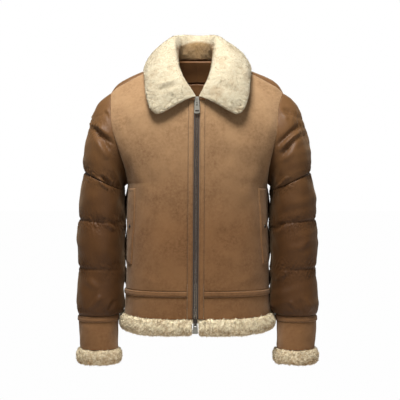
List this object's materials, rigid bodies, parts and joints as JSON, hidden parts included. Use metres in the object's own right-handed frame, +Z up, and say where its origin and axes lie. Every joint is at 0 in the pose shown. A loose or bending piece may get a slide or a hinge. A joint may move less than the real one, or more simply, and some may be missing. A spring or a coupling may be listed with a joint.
{
  "type": "jacket",
  "caption": "Suede front jacket filled out as worn: quilted down sleeves and back, wide shearling collar, shearling hem and cuff edges, and a two-way front zip whose pull tabs swing.",
  "frame": {"origin": "middle of the neck between the shoulder seams, at the level of the highest points of the shoulders, where the wearer's shoulders hold the jacket", "axes": "+X to the wearer's left, -Y out of the front, +Z up along the body"},
  "size_m": [0.613, 0.2779, 0.8424],
  "materials": {
    "suede": "brushed nap suede",
    "quilted_nylon": "soft sheen woven nylon over down",
    "shearling": "sheared wool pile",
    "lining": "smooth woven lining",
    "zip_tape": "woven tape",
    "zip_metal": "dark antique brass",
    "pull_metal": "polished warm nickel",
    "snap_metal": "dark antique brass"
  },
  "bodies": {
    "jacket": {"back": "quilted_nylon", "back_lining": "lining", "collar": "shearling", "cuff_fur_left": "shearling", "cuff_fur_right": "shearling", "cuff_left": "suede", "cuff_right": "suede", "cuff_strip_left": "suede", "cuff_strip_right": "suede", "front_left": "suede", "front_right": "suede", "hem_band_back": "suede", "hem_band_left": "suede", "hem_band_right": "suede", "hem_fur_back": "shearling", "hem_fur_left": "shearling", "hem_fur_right": "shearling", "neck_facing": "lining", "placket_left": "suede", "placket_right": "suede", "pocket_snap_left": "snap_metal", "pocket_snap_right": "snap_metal", "pocket_welt_left": "suede", "pocket_welt_right": "suede", "sleeve_left": "quilted_nylon", "sleeve_right": "quilted_nylon", "slider_bottom": "zip_metal", "slider_top": "pull_metal", "waist_strip_back": "suede", "waist_strip_left": "suede", "waist_strip_right": "suede", "zip_chain": "zip_metal", "zip_tape_left": "zip_tape", "zip_tape_right": "zip_tape"},
    "pull_top_tab": {"pull_top": "pull_metal"},
    "pull_bottom_tab": {"pull_bottom": "pull_metal"}
  },
  "joints": [
    {"name": "pull_top_swing", "type": "hinge", "parent": "jacket", "child": "pull_top_tab", "pos_m": [-0.001, -0.11478, -0.07953], "axis": [-1, 0, 0], "range_deg": [0, 110]},
    {"name": "pull_bottom_swing", "type": "hinge", "parent": "jacket", "child": "pull_bottom_tab", "pos_m": [-0.005, -0.13738, -0.62561], "axis": [-1, 0, 0], "range_deg": [0, 130]}
  ]
}
